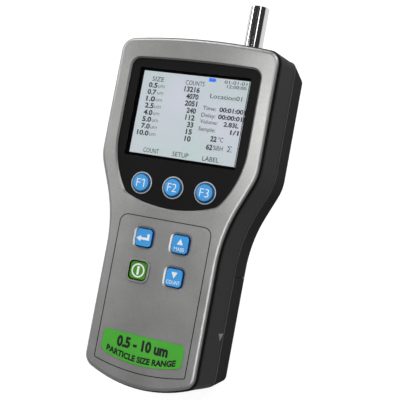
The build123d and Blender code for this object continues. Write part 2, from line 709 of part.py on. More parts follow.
with BuildPart() as lcd_frame:
    with BuildSketch(Plane.XY.offset(MODULE_Z)):
        with Locations((0, SCREEN_Y)):
            RectangleRounded(*MODULE_SIZE, 0.8)
    extrude(amount=-MODULE_THICKNESS)
    with BuildSketch(Plane.XY.offset(MODULE_Z)):
        with Locations((0, SCREEN_Y)):
            Rectangle(GLASS_SIZE[0] + 0.1, GLASS_SIZE[1] + 0.1)
    extrude(amount=-GLASS_THICKNESS, mode=Mode.SUBTRACT)
save(lcd_frame, "lcd_frame")

with BuildPart() as lcd_glass:
    with BuildSketch(Plane.XY.offset(MODULE_Z)):
        with Locations((0, SCREEN_Y)):
            Rectangle(*GLASS_SIZE)
    extrude(amount=-GLASS_THICKNESS)
save(lcd_glass, "lcd_glass")

# --- Function keys: round caps in bright trim rings ------------------------------------------
for name, x in ROUND_KEYS:
    with BuildPart() as ring:
        with BuildSketch(Plane.XY.offset(RING_SEAT_Z)):
            with Locations((x, ROUND_KEY_Y)):
                Circle(RING_R)
                Circle(RING_BORE_R, mode=Mode.SUBTRACT)
        extrude(amount=RING_TOP_Z - RING_SEAT_Z)
        fillet(ring.faces().sort_by(Axis.Z)[-1].edges(), RING_EDGE_R)
    save(ring, f"key_ring_{name}")

    flange_z = PANEL_UNDER_Z - KEY_FLANGE_GAP - KEY_FLANGE_THICKNESS
    with BuildPart() as key:
        with BuildSketch(Plane.XY.offset(flange_z)):
            with Locations((x, ROUND_KEY_Y)):
                Circle(ROUND_KEY_R)
        extrude(amount=KEY_DRAFT_Z - flange_z)
        with BuildSketch(Plane.XY.offset(KEY_DRAFT_Z)):
            with Locations((x, ROUND_KEY_Y)):
                Circle(ROUND_KEY_R)
        with BuildSketch(Plane.XY.offset(ROUND_KEY_TOP_Z)):
            with Locations((x, ROUND_KEY_Y)):
                Circle(ROUND_KEY_R - ROUND_KEY_DRAFT)
        loft(ruled=True)
        fillet(key.faces().sort_by(Axis.Z)[-1].edges(), KEY_EDGE_R)
        with BuildSketch(Plane.XY.offset(flange_z)):
            with Locations((x, ROUND_KEY_Y)):
                Circle(ROUND_KEY_R + KEY_FLANGE)
        extrude(amount=KEY_FLANGE_THICKNESS)
        with BuildSketch(Plane.XY.offset(STEM_FOOT_Z)):
            with Locations((x, ROUND_KEY_Y)):
                Circle(STEM_R)
        extrude(amount=flange_z - STEM_FOOT_Z)
    save(key, f"key_{name}")

# --- Square keys -----------------------------------------------------------------------------
for name, x, y, top_z in SQUARE_KEYS:
    flange_z = FACE_UNDER_Z - KEY_FLANGE_GAP - KEY_FLANGE_THICKNESS
    with BuildPart() as key:
        extrude(key_outline((x, y), -KEY_GAP, flange_z), amount=KEY_DRAFT_Z - flange_z)
        loft(
            [
                key_outline((x, y), -KEY_GAP, KEY_DRAFT_Z),
                key_outline((x, y), -KEY_GAP - KEY_DRAFT, top_z),
            ],
            ruled=True,
        )
        fillet(key.faces().sort_by(Axis.Z)[-1].edges(), KEY_EDGE_R)
        with BuildSketch(Plane.XY.offset(flange_z)):
            with Locations((x, y)):
                flange = SQUARE_KEY + 2 * KEY_FLANGE
                RectangleRounded(flange, flange, SQUARE_KEY_R + KEY_FLANGE)
        extrude(amount=KEY_FLANGE_THICKNESS)
        with BuildSketch(Plane.XY.offset(STEM_FOOT_Z)):
            with Locations((x, y)):
                Circle(STEM_R)
        extrude(amount=flange_z - STEM_FOOT_Z)
    save(key, f"key_{name}")

# --- Keypad mat: one silicone sheet with a dome under every key ------------------------------
with BuildPart() as keypad_mat:
    with BuildSketch(Plane.XY.offset(BOARD_TOP_Z)):
        with Locations((0, ROUND_KEY_Y)):
            RectangleRounded(2 * ROUND_KEY_PITCH + 14, 14, 3)
        with Locations((0, (UPPER_ROW_Y + LOWER_ROW_Y) / 2)):
            RectangleRounded(2 * SQUARE_KEY_X + 15, UPPER_ROW_Y - LOWER_ROW_Y + 14, 3)
        with Locations((0, (ROUND_KEY_Y + UPPER_ROW_Y) / 2)):
            Rectangle(16, ROUND_KEY_Y - UPPER_ROW_Y - 6)
    extrude(amount=MAT_THICKNESS)
    dome_z = BOARD_TOP_Z + MAT_THICKNESS
    with BuildSketch(Plane.XY.offset(dome_z)):
        with Locations(*KEY_PLACES, *ROUND_PLACES):
            Circle(DOME_R)
    extrude(amount=DOME_TOP_Z - dome_z, taper=20)
save(keypad_mat, "keypad_mat")

# --- Label on the grip -----------------------------------------------------------------------
with BuildPart() as label_strip:
    extrude(
        tongue_outline(
            LABEL_HALF, LABEL_TOP_Y, LABEL_FOOT_Y, HEEL_R,
            LABEL_CORNER_R, LABEL_FOOT_CORNER_R, FRONT_Z - LABEL_RECESS,
        ),
        amount=LABEL_THICKNESS,
    )
save(label_strip, "label_strip")

# --- Front board: carries the screen and the keypad ------------------------------------------
with BuildPart() as front_board:
    with BuildSketch(Plane.XY.offset(FRONT_BOARD_Z)):
        with BuildLine():
            Polyline(
                (-BOARD_HALF, BOARD_TOP_Y),
                (BOARD_HALF, BOARD_TOP_Y),
                (BOARD_HALF, 12),
                (FRAME_HALF, -10),
                (FRAME_HALF, -66),
                (-FRAME_HALF, -66),
                (-FRAME_HALF, -10),
                (-BOARD_HALF, 12),
                close=True,
            )
        make_face()
        with Locations(*both_sides(BOSS_HOLES)):
            Circle(1.1, mode=Mode.SUBTRACT)
    extrude(amount=BOARD)
    chamfer(front_board.edges().filter_by(Axis.Z).group_by(Axis.Y)[-1], 3)
save(front_board, "front_board")

with BuildPart() as front_board_screws:
    with BuildSketch(Plane.XY.offset(FRONT_BOARD_Z)):
        with Locations(*both_sides(BOSS_HOLES)):
            Circle(1.9)
    extrude(amount=-1.4)
    with BuildSketch(Plane.XY.offset(FRONT_BOARD_Z)):
        with Locations(*both_sides(BOSS_HOLES)):
            Circle(0.85)
    extrude(amount=6)
save(front_board_screws, "front_board_screws")

with BuildPart() as humidity_sensor:
    with BuildSketch(Plane.XY.offset(FRONT_BOARD_Z)):
        with Locations((SENSOR_X, BOARD_TOP_Y - 4)):
            RectangleRounded(7, 6, 0.5)
    extrude(amount=-2.2)
    with BuildSketch(Plane.XY.offset(FRONT_BOARD_Z - 2.2)):
        with Locations((SENSOR_X, BOARD_TOP_Y - 4)):
            Circle(1.2)
    extrude(amount=0.8, mode=Mode.SUBTRACT)
save(humidity_sensor, "humidity_sensor")

with BuildPart() as buzzer:
    with BuildSketch(Plane.XY.offset(FRONT_BOARD_Z)):
        with Locations((0, UPPER_ROW_Y)):
            Circle(6)
    extrude(amount=-4.5)
    fillet(buzzer.faces().sort_by(Axis.Z)[0].edges(), 0.5)
    with BuildSketch(Plane.XY.offset(FRONT_BOARD_Z - 4.5)):
        with Locations((0, UPPER_ROW_Y)):
            Circle(1)
    extrude(amount=1.5, mode=Mode.SUBTRACT)
save(buzzer, "buzzer")

# --- Main board, its spacers and the plate that carries the air path --------------------------
MAIN_BOARD_TOP_Z = MAIN_BOARD_Z + BOARD
PLATE_TOP_Z = PLATE_Z + PLATE_THICKNESS

with BuildPart() as board_spacers:
    for low, high in ((MAIN_BOARD_TOP_Z, FRONT_BOARD_Z), (PLATE_TOP_Z, MAIN_BOARD_Z)):
        with BuildSketch(Plane.XY.offset(low)):
            with Locations(*both_sides(SPACER_PLACES)):
                RegularPolygon(2.9, 6)
        extrude(amount=high - low)
save(board_spacers, "board_spacers")

with BuildPart() as main_board:
    with BuildSketch(Plane.XY.offset(MAIN_BOARD_Z)):
        with Locations((0, 47)):
            Rectangle(2 * BOARD_HALF, 74)
        with Locations((-BOARD_HALF - 3, (USB_Y + JACK_Y) / 2)):
            Rectangle(9, 30)
    extrude(amount=BOARD)
save(main_board, "main_board")

with BuildPart() as usb_port:
    port_z = MAIN_BOARD_TOP_Z + USB_SIZE[2] / 2
    with BuildSketch(Plane.YZ.offset(-USB_OUTER_X)):
        with Locations((USB_Y, port_z)):
            RectangleRounded(USB_SIZE[1], USB_SIZE[2], 0.8)
    extrude(amount=USB_SIZE[0])
    with BuildSketch(Plane.YZ.offset(-USB_OUTER_X)):
        with Locations((USB_Y, port_z)):
            RectangleRounded(USB_SIZE[1] - 0.8, USB_SIZE[2] - 0.8, 0.5)
            Rectangle(USB_SIZE[1] - 3, 0.7, mode=Mode.SUBTRACT)
    extrude(amount=USB_SIZE[0] - 2, mode=Mode.SUBTRACT)
save(usb_port, "usb_port")

with BuildPart() as dc_jack:
    jack_z = MAIN_BOARD_TOP_Z + JACK_SIZE[2] / 2
    with BuildSketch(Plane.YZ.offset(-JACK_BODY_X)):
        with Locations((JACK_Y, jack_z)):
            Rectangle(JACK_SIZE[1], JACK_SIZE[2])
    extrude(amount=JACK_SIZE[0] - 1.5)
    with BuildSketch(Plane.YZ.offset(-USB_OUTER_X)):
        with Locations((JACK_Y, jack_z)):
            Circle(JACK_BARREL_R)
    extrude(amount=USB_OUTER_X - JACK_BODY_X)
    with BuildSketch(Plane.YZ.offset(-USB_OUTER_X)):
        with Locations((JACK_Y, jack_z)):
            Circle(2.75)
            Circle(1, mode=Mode.SUBTRACT)
    extrude(amount=8, mode=Mode.SUBTRACT)
save(dc_jack, "dc_jack")

with BuildPart() as chassis_plate:
    with BuildSketch(Plane.XY.offset(PLATE_Z)):
        with Locations((0, 47)):
            RectangleRounded(2 * BOARD_HALF, 74, 3)
        with Locations((0, 25)):
            SlotOverall(30, 12, mode=Mode.SUBTRACT)
    extrude(amount=PLATE_THICKNESS)
save(chassis_plate, "chassis_plate")

# --- Optical chamber: the air is drawn down past a laser beam --------------------------------
CHAMBER_TOP_Y = CHAMBER_Y + CHAMBER_SIZE[1] / 2
CHAMBER_LEFT_X = TUBE_X - CHAMBER_SIZE[0] / 2
CHAMBER_RIGHT_X = TUBE_X + CHAMBER_SIZE[0] / 2

with BuildPart() as optical_chamber:
    with BuildSketch(Plane.XY.offset(PLATE_Z)):
        with Locations((TUBE_X, CHAMBER_Y)):
            RectangleRounded(CHAMBER_SIZE[0], CHAMBER_SIZE[1], 2)
    extrude(amount=-CHAMBER_SIZE[2])
    with BuildSketch(Plane.XZ.offset(-CHAMBER_TOP_Y)):
        with Locations((TUBE_X, TUBE_Z)):
            Circle(TUBE_SEAT_R + 0.05)
    extrude(amount=CHAMBER_TOP_Y - TUBE_FOOT_Y, mode=Mode.SUBTRACT)
    with BuildSketch(Plane.XZ.offset(-TUBE_FOOT_Y)):
        with Locations((TUBE_X, TUBE_Z)):
            Circle(4)
    extrude(amount=CHAMBER_SIZE[1] - 12, mode=Mode.SUBTRACT)
    with BuildSketch(Plane.YZ.offset(CHAMBER_LEFT_X)):
        with Locations((BEAM_Y, BEAM_Z)):
            Circle(2)
    extrude(amount=CHAMBER_SIZE[0], mode=Mode.SUBTRACT)
    with BuildSketch(Plane.YZ.offset(CHAMBER_LEFT_X)):
        with Locations((SUCTION_Y, BEAM_Z)):
            Circle(1)
    extrude(amount=CHAMBER_SIZE[0] / 2, mode=Mode.SUBTRACT)
    with BuildSketch(Plane.YZ.offset(CHAMBER_LEFT_X)):
        with Locations((SUCTION_Y, BEAM_Z)):
            Circle(BARB_R)
            Circle(1, mode=Mode.SUBTRACT)
    extrude(amount=-BARB_LENGTH)
save(optical_chamber, "optical_chamber")

with BuildPart() as laser_module:
    with BuildSketch(Plane.YZ.offset(CHAMBER_LEFT_X)):
        with Locations((BEAM_Y, BEAM_Z)):
            Circle(5.5)
    extrude(amount=-18)
    chamfer(laser_module.faces().sort_by(Axis.X)[0].edges(), 0.8)
save(laser_module, "laser_module")

with BuildPart() as beam_trap:
    with BuildSketch(Plane.YZ.offset(CHAMBER_RIGHT_X)):
        with Locations((BEAM_Y, BEAM_Z)):
            Circle(5)
    extrude(amount=5)
    chamfer(beam_trap.faces().sort_by(Axis.X)[-1].edges(), 0.6)
save(beam_trap, "beam_trap")

with BuildPart() as photodetector:
    chamber_foot_z = PLATE_Z - CHAMBER_SIZE[2]
    with BuildSketch(Plane.XY.offset(chamber_foot_z)):
        with Locations((TUBE_X, BEAM_Y)):
            Circle(4.5)
    extrude(amount=-DETECTOR_HEIGHT)
save(photodetector, "photodetector")

with BuildPart() as sensor_board:
    with BuildSketch(Plane.XY.offset(chamber_foot_z - DETECTOR_HEIGHT)):
        with Locations((TUBE_X, BEAM_Y)):
            RectangleRounded(26, 26, 1.5)
    extrude(amount=-BOARD)
save(sensor_board, "sensor_board")

# --- Inlet: polished tube in a rubber grommet at the crown -----------------------------------
with BuildPart() as inlet_tube:
    with BuildSketch(Plane.XZ.offset(-TUBE_FOOT_Y)):
        with Locations((TUBE_X, TUBE_Z)):
            Circle(TUBE_SEAT_R)
    extrude(amount=TUBE_FOOT_Y - TUBE_SHOULDER_Y)
    with BuildSketch(Plane.XZ.offset(-TUBE_SHOULDER_Y)):
        with Locations((TUBE_X, TUBE_Z)):
            Circle(TUBE_R)
    extrude(amount=TUBE_SHOULDER_Y - TUBE_END_Y)
    with BuildSketch(Plane.XZ.offset(-TUBE_FOOT_Y)):
        with Locations((TUBE_X, TUBE_Z)):
            Circle(TUBE_BORE_R)
    extrude(amount=TUBE_FOOT_Y - TUBE_END_Y, mode=Mode.SUBTRACT)
    chamfer(inlet_tube.faces().sort_by(Axis.Y)[-1].outer_wire().edges(), 0.3)
save(inlet_tube, "inlet_tube")

with BuildPart() as inlet_grommet:
    for radius, low, high in ((GROMMET_R, 90.6, 95.6), (GROMMET_LIP_R, 95.6, 96.6)):
        with BuildSketch(Plane.XZ.offset(-low)):
            with Locations((TUBE_X, TUBE_Z)):
                Circle(radius)
                Circle(TUBE_SEAT_R + 0.05, mode=Mode.SUBTRACT)
        extrude(amount=low - high)
save(inlet_grommet, "inlet_grommet")

# --- Pump, filter, hoses and exhaust ---------------------------------------------------------
PUMP_RIGHT_X = PUMP_X + PUMP_HEAD_SIZE[0] / 2
PUMP_FOOT_Y = PUMP_HEAD_Y - PUMP_HEAD_SIZE[1] / 2
FILTER_TOP_Y = FILTER_Y + FILTER_LENGTH / 2
FILTER_FOOT_Y = FILTER_Y - FILTER_LENGTH / 2

with BuildPart() as pump_head:
    with BuildSketch(Plane.XZ.offset(-PUMP_FOOT_Y)):
        with Locations((PUMP_X, PLATE_Z - PUMP_HEAD_SIZE[2] / 2)):
            RectangleRounded(PUMP_HEAD_SIZE[0], PUMP_HEAD_SIZE[2], 2)
    extrude(amount=-PUMP_HEAD_SIZE[1])
    with BuildSketch(Plane.YZ.offset(PUMP_RIGHT_X)):
        with Locations((SUCTION_Y, BEAM_Z)):
            Circle(BARB_R)
    extrude(amount=BARB_LENGTH)
    with BuildSketch(Plane.XZ.offset(-PUMP_FOOT_Y)):
        with Locations((FILTER_X, FILTER_Z)):
            Circle(BARB_R)
    extrude(amount=BARB_LENGTH)
save(pump_head, "pump_head")

with BuildPart() as pump_motor:
    with BuildSketch(Plane.XZ.offset(-PUMP_FOOT_Y - PUMP_HEAD_SIZE[1])):
        with Locations((PUMP_X, PLATE_Z - MOTOR_R)):
            Circle(MOTOR_R)
    extrude(amount=-MOTOR_LENGTH)
    chamfer(pump_motor.faces().sort_by(Axis.Y)[-1].edges(), 0.8)
    with BuildSketch(Plane.XZ.offset(-PUMP_FOOT_Y - PUMP_HEAD_SIZE[1] - MOTOR_LENGTH)):
        with Locations((PUMP_X, PLATE_Z - MOTOR_R)):
            Circle(3)
    extrude(amount=-1.5)
save(pump_motor, "pump_motor")

with BuildPart() as air_filter:
    with BuildSketch(Plane.XZ.offset(-FILTER_FOOT_Y)):
        with Locations((FILTER_X, FILTER_Z)):
            Circle(FILTER_R)
    extrude(amount=-FILTER_LENGTH)
    chamfer(air_filter.edges().filter_by(GeomType.CIRCLE), 2)
    for end, reach in ((FILTER_FOOT_Y, BARB_LENGTH), (FILTER_TOP_Y, -BARB_LENGTH)):
        with BuildSketch(Plane.XZ.offset(-end)):
            with Locations((FILTER_X, FILTER_Z)):
                Circle(BARB_R)
        extrude(amount=reach)
save(air_filter, "air_filter")

with BuildPart() as suction_hose:
    with BuildSketch(Plane.YZ.offset(PUMP_RIGHT_X)):
        with Locations((SUCTION_Y, BEAM_Z)):
            Circle(HOSE_R)
            Circle(HOSE_BORE_R, mode=Mode.SUBTRACT)
    extrude(amount=CHAMBER_LEFT_X - PUMP_RIGHT_X)
save(suction_hose, "suction_hose")

with BuildPart() as pressure_hose:
    with BuildSketch(Plane.XZ.offset(-FILTER_TOP_Y)):
        with Locations((FILTER_X, FILTER_Z)):
            Circle(HOSE_R)
            Circle(HOSE_BORE_R, mode=Mode.SUBTRACT)
    extrude(amount=FILTER_TOP_Y - PUMP_FOOT_Y)
save(pressure_hose, "pressure_hose")

with BuildPart() as exhaust_hose:
    with BuildLine(Plane.XY.offset(FILTER_Z)):
        FilletPolyline(
            (FILTER_X, FILTER_FOOT_Y), (FILTER_X, EXHAUST_Y), (-FITTING_X, EXHAUST_Y), radius=6
        )
    with BuildSketch(Plane.XZ.offset(-FILTER_FOOT_Y)):
        with Locations((FILTER_X, FILTER_Z)):
            Circle(HOSE_R)
            Circle(HOSE_BORE_R, mode=Mode.SUBTRACT)
    sweep()
save(exhaust_hose, "exhaust_hose")

with BuildPart() as exhaust_fitting:
    with BuildSketch(Plane.YZ.offset(-FITTING_X)):
        with Locations((EXHAUST_Y, FILTER_Z)):
            Circle(FITTING_R)
    extrude(amount=-FITTING_LENGTH)
    with BuildSketch(Plane.YZ.offset(-FITTING_X)):
        with Locations((EXHAUST_Y, FILTER_Z)):
            Circle(BARB_R)
    extrude(amount=BARB_LENGTH)
    with BuildSketch(Plane.YZ.offset(-FITTING_X - FITTING_LENGTH)):
        with Locations((EXHAUST_Y, FILTER_Z)):
            Circle(0.9)
    extrude(amount=FITTING_LENGTH + BARB_LENGTH, mode=Mode.SUBTRACT)
save(exhaust_fitting, "exhaust_fitting")

# --- Case screws and tripod insert -----------------------------------------------------------
SCREW_SEATS = [(x, y, SCREW_SEAT_Z) for x, y in both_sides(CASE_SCREWS)]
SCREW_SEATS += [(x, y, BAY_ROOF_Z) for x, y in both_sides(GRIP_SCREWS)]

with BuildPart() as case_screws:
    for x, y, seat_z in SCREW_SEATS:
        with BuildSketch(Plane.XY.offset(seat_z)):
            with Locations((x, y)):
                Circle(SCREW_HEAD_R)
        extrude(amount=-SCREW_HEAD)
        with BuildSketch(Plane.XY.offset(seat_z)):
            with Locations((x, y)):
                Circle(SCREW_R)
        extrude(amount=SCREW_LENGTH)
        with BuildSketch(Plane.XY.offset(seat_z - SCREW_HEAD)):
            with Locations((x, y)):
                Rectangle(3.2, 0.8)
                Rectangle(0.8, 3.2)
        extrude(amount=1, mode=Mode.SUBTRACT)
save(case_screws, "case_screws")

with BuildPart() as tripod_insert:
    with BuildSketch(Plane.XY.offset(INSERT_FOOT_Z)):
        with Locations((0, TRIPOD_Y)):
            Circle(INSERT_R)
    extrude(amount=INSERT_TOP_Z - INSERT_FOOT_Z)
    with BuildSketch(Plane.XY.offset(INSERT_FOOT_Z)):
        with Locations((0, TRIPOD_Y)):
            Circle(TRIPOD_HOLE_R)
    extrude(amount=TRIPOD_DEPTH, mode=Mode.SUBTRACT)
save(tripod_insert, "tripod_insert")
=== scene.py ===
"""Handheld airborne particle counter, lying on its back: finishes, printing and screen."""
import math

import bpy
import numpy as np
from mathutils import Euler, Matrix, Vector


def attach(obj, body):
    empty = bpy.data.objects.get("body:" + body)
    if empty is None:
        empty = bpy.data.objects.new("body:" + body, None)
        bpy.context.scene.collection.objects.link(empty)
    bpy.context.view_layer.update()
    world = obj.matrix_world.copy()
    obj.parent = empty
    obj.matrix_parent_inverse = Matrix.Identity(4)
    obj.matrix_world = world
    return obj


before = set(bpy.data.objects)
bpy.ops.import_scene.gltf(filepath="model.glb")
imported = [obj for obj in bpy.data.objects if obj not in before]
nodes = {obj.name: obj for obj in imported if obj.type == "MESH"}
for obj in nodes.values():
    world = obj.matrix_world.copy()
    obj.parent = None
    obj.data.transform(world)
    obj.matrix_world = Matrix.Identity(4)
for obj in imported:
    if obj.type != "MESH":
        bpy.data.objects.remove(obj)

scene = bpy.context.scene
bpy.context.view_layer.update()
MM = 0.001


# --- Camera -----------------------------------------------------------------------------------
# A long portrait lens, held half a metre above the table and well to the right of the
# instrument, which lies on its back.
camera = bpy.data.objects.new("camera", bpy.data.cameras.new("camera"))
scene.collection.objects.link(camera)
camera.data.lens = 69.44
camera.data.sensor_width = 36.0
camera.data.clip_start = 0.01
camera.location = (0.17811, -0.02627, 0.49040)
camera.rotation_euler = Euler([math.radians(a) for a in (6.5476, 19.3283, 11.1901)])
scene.camera = camera
scene.view_settings.view_transform = "Standard"


# --- Table and studio light -------------------------------------------------------------------
# A white table top in a dim studio. It shows white to the camera, in reflections and through
# glass, and keeps the soft shadow under the instrument.
TABLE_HALF = 3.0
TABLE_GLOW = 0.84         # with the lamps' light on the table top, this shows as white
HORIZON_Z = 0.02          # a direction lower than this meets white, as the table is


def math_node(tree, operation, *values, clamp=False):
    """Math node with numbers or other nodes' outputs as its inputs. Returns its output."""
    node = tree.nodes.new("ShaderNodeMath")
    node.operation = operation
    node.use_clamp = clamp
    for socket, value in zip(node.inputs, values):
        if isinstance(value, float):
            socket.default_value = value
        else:
            tree.links.new(value, socket)
    return node.outputs[0]


table_mesh = bpy.data.meshes.new("table_top")
table_mesh.from_pydata(
    [(x * TABLE_HALF, y * TABLE_HALF, 0) for x, y in ((-1, -1), (1, -1), (1, 1), (-1, 1))],
    [], [(0, 1, 2, 3)],
)
table = bpy.data.objects.new("table_top", table_mesh)
scene.collection.objects.link(table)

table_paint = bpy.data.materials.new("table_paint")
table_paint.use_nodes = True
tree = table_paint.node_tree
tree.nodes.clear()
rays = tree.nodes.new("ShaderNodeLightPath").outputs
seen = math_node(tree, "MAXIMUM", rays["Is Camera Ray"], rays["Is Transmission Ray"])
seen = math_node(tree, "MAXIMUM", seen, rays["Is Glossy Ray"])
glow = tree.nodes.new("ShaderNodeEmission")
tree.links.new(math_node(tree, "MULTIPLY", seen, TABLE_GLOW), glow.inputs["Strength"])
matt = tree.nodes.new("ShaderNodeBsdfDiffuse")
matt.inputs["Color"].default_value = (0.34, 0.34, 0.34, 1)
both = tree.nodes.new("ShaderNodeAddShader")
tree.links.new(glow.outputs[0], both.inputs[0])
tree.links.new(matt.outputs[0], both.inputs[1])
out = tree.nodes.new("ShaderNodeOutputMaterial")
tree.links.new(both.outputs[0], out.inputs["Surface"])
table_mesh.materials.append(table_paint)

world = bpy.data.worlds.new("studio")
scene.world = world
world.use_nodes = True
tree = world.node_tree
aim = tree.nodes.new("ShaderNodeTexCoord")
split = tree.nodes.new("ShaderNodeSeparateXYZ")
tree.links.new(aim.outputs["Generated"], split.inputs["Vector"])
room = tree.nodes.new("ShaderNodeValToRGB")
room.color_ramp.elements[0].position = 0.0
room.color_ramp.elements[0].color = (0.10, 0.10, 0.102, 1)
room.color_ramp.elements[1].position = 0.30
room.color_ramp.elements[1].color = (0.05, 0.05, 0.052, 1)
tree.links.new(split.outputs["Z"], room.inputs["Fac"])
low = math_node(tree, "LESS_THAN", split.outputs["Z"], HORIZON_Z)
rays = tree.nodes.new("ShaderNodeLightPath").outputs
seen = math_node(tree, "SUBTRACT", low, rays["Is Diffuse Ray"], clamp=True)
backdrop = tree.nodes.new("ShaderNodeMix")
backdrop.data_type = "RGBA"
backdrop.inputs["B"].default_value = (1, 1, 1, 1)
tree.links.new(seen, backdrop.inputs["Factor"])
tree.links.new(room.outputs["Color"], backdrop.inputs["A"])
tree.links.new(backdrop.outputs["Result"], tree.nodes["Background"].inputs["Color"])
tree.nodes["Background"].inputs["Strength"].default_value = 1.0


def softbox(name, place, aim, size, power):
    """Rectangular area lamp at place, pointing at aim, size = (width, height) in metres."""
    lamp = bpy.data.lights.new(name, "AREA")
    lamp.shape = "RECTANGLE"
    lamp.size, lamp.size_y = size
    lamp.energy = power
    obj = bpy.data.objects.new(name, lamp)
    obj.location = place
    obj.rotation_euler = (Vector(aim) - Vector(place)).to_track_quat("-Z", "Y").to_euler()
    scene.collection.objects.link(obj)


softbox("lamp_back", (-0.50, 1.05, 0.35), (0, 0.05, 0.03), (0.9, 0.40), 6.0)
softbox("lamp_left", (-1.08, 0.45, 0.46), (0, 0, 0.03), (0.5, 0.20), 3.0)
softbox("lamp_upper_left", (-0.84, 0.12, 0.92), (0, 0.05, 0.03), (0.6, 0.40), 1.25)
softbox("lamp_above", (0.50, -0.12, 1.16), (0, 0, 0.03), (0.9, 0.48), 6.2)
softbox("lamp_streak", (0.50, 0.50, 1.10), (0, 0.14, 0.03), (0.25, 0.13), 0.5)
softbox("lamp_top", (0.02, 0.24, 1.22), (0, 0, 0.03), (0.18, 0.18), 1.9)
softbox("lamp_low_right", (0.65, 0.80, 0.38), (0, 0.05, 0.03), (0.4, 0.4), 5.0)


# --- Silver front cover -----------------------------------------------------------------------
# Moulded ABS, sprayed with a satin silver paint. The aluminium flake in the paint sparkles a
# little, and the mould texture shows through as a very fine grain. The steep outer edge gets
# painted shade: there the colour goes near black and the metal and gloss fade out.
CROWN_RADIUS = 0.50       # metres: the face's shading normals bend as if it bulged by this radius across
BLOTCH_SCALE = 55.0
BUMP_STRENGTH = 0.35
ROUGH_SPREAD = 0.05


def noise_on_object(tree, place, scale, detail):
    """Noise on Object coordinates. Returns its value, 0 to 1."""
    noise = tree.nodes.new("ShaderNodeTexNoise")
    noise.inputs["Scale"].default_value = scale
    noise.inputs["Detail"].default_value = detail
    tree.links.new(place.outputs["Object"], noise.inputs["Vector"])
    return noise.outputs["Fac"]


def painted_surface(
    name, colour, rough, metal=0.0, grain=2600.0, depth=0.012, spread=0.10, coat=0.0, gloss=0.5,
):
    """Principled finish with two sizes of noise on Object coordinates.

    The fine noise gives the grain, as bump of depth mm. Fine and coarse together shift the
    colour by +-spread, and the coarse one shifts the roughness.
    """
    material = bpy.data.materials.new(name)
    material.use_nodes = True
    tree = material.node_tree
    shader = tree.nodes["Principled BSDF"]
    shader.inputs["Metallic"].default_value = metal
    shader.inputs["Coat Weight"].default_value = coat
    shader.inputs["Specular IOR Level"].default_value = gloss
    shader.inputs["Coat Roughness"].default_value = 0.25
    place = tree.nodes.new("ShaderNodeTexCoord")
    fine = noise_on_object(tree, place, grain, 3.0)
    coarse = noise_on_object(tree, place, BLOTCH_SCALE, 4.0)
    both = tree.nodes.new("ShaderNodeMix")
    both.data_type = "FLOAT"
    both.inputs["Factor"].default_value = 0.5
    tree.links.new(fine, both.inputs["A"])
    tree.links.new(coarse, both.inputs["B"])
    ramp = tree.nodes.new("ShaderNodeValToRGB")
    dark, light = ramp.color_ramp.elements
    dark.position, light.position = 0.35, 0.65
    dark.color = [c * (1 - spread) for c in colour] + [1]
    light.color = [min(1, c * (1 + spread)) for c in colour] + [1]
    tree.links.new(both.outputs["Result"], ramp.inputs["Fac"])
    tree.links.new(ramp.outputs["Color"], shader.inputs["Base Color"])
    worn = tree.nodes.new("ShaderNodeMapRange")
    worn.inputs["To Min"].default_value = rough - ROUGH_SPREAD
    worn.inputs["To Max"].default_value = rough + ROUGH_SPREAD
    tree.links.new(coarse, worn.inputs["Value"])
    tree.links.new(worn.outputs["Result"], shader.inputs["Roughness"])
    bump = tree.nodes.new("ShaderNodeBump")
    bump.inputs["Strength"].default_value = BUMP_STRENGTH
    bump.inputs["Distance"].default_value = depth * MM
    tree.links.new(fine, bump.inputs["Height"])
    tree.links.new(bump.outputs["Normal"], shader.inputs["Normal"])
    return material


def paint_shade_on_sides(material, shade_colour, steep=0.55, flat=0.92):
    """Paints shade into a finish where it turns down, from normal Z of flat to normal Z of steep.

    Metal and gloss fade out together with the colour.
    """
    tree = material.node_tree
    turned = tree.nodes.new("ShaderNodeSeparateXYZ")
    tree.links.new(tree.nodes["Texture Coordinate"].outputs["Normal"], turned.inputs["Vector"])
    step = tree.nodes.new("ShaderNodeMapRange")
    step.interpolation_type = "SMOOTHSTEP"
    step.inputs["From Min"].default_value = steep
    step.inputs["From Max"].default_value = flat
    tree.links.new(turned.outputs["Z"], step.inputs["Value"])
    tint = tree.nodes.new("ShaderNodeMix")
    tint.data_type = "RGBA"
    tint.inputs["A"].default_value = (*shade_colour, 1)
    tree.links.new(step.outputs["Result"], tint.inputs["Factor"])
    tree.links.new(tree.nodes["Color Ramp"].outputs["Color"], tint.inputs["B"])
    shader = tree.nodes["Principled BSDF"]
    tree.links.new(tint.outputs["Result"], shader.inputs["Base Color"])
    for socket in ("Metallic", "Specular IOR Level"):
        full = shader.inputs[socket].default_value
        fade = math_node(tree, "MULTIPLY", step.outputs["Result"], full)
        tree.links.new(fade, shader.inputs[socket])


def finish_nodes(material, *names):
    """Gives CAD nodes one material in all their slots."""
    for name in names:
        mesh = nodes[name].data
        mesh.materials.clear()
        mesh.materials.append(material)


silver = painted_surface(
    "silver_paint", (0.385, 0.384, 0.379), 0.34, metal=0.55, grain=1300, depth=0.06, gloss=0.1,
)
tree = silver.node_tree
across = tree.nodes.new("ShaderNodeSeparateXYZ")
tree.links.new(tree.nodes["Texture Coordinate"].outputs["Object"], across.inputs["Vector"])
square = math_node(tree, "POWER", across.outputs["X"], 2.0)
sag = math_node(tree, "MULTIPLY", square, -0.5 / CROWN_RADIUS)
crown = tree.nodes.new("ShaderNodeBump")
crown.inputs["Distance"].default_value = 1.0
tree.links.new(sag, crown.inputs["Height"])
tree.links.new(crown.outputs["Normal"], tree.nodes["Bump"].inputs["Normal"])
# Painted shade on the cover's steep outer edge.
paint_shade_on_sides(silver, (0.012, 0.012, 0.012), steep=0.45, flat=0.93)
finish_nodes(silver, "front_cover")
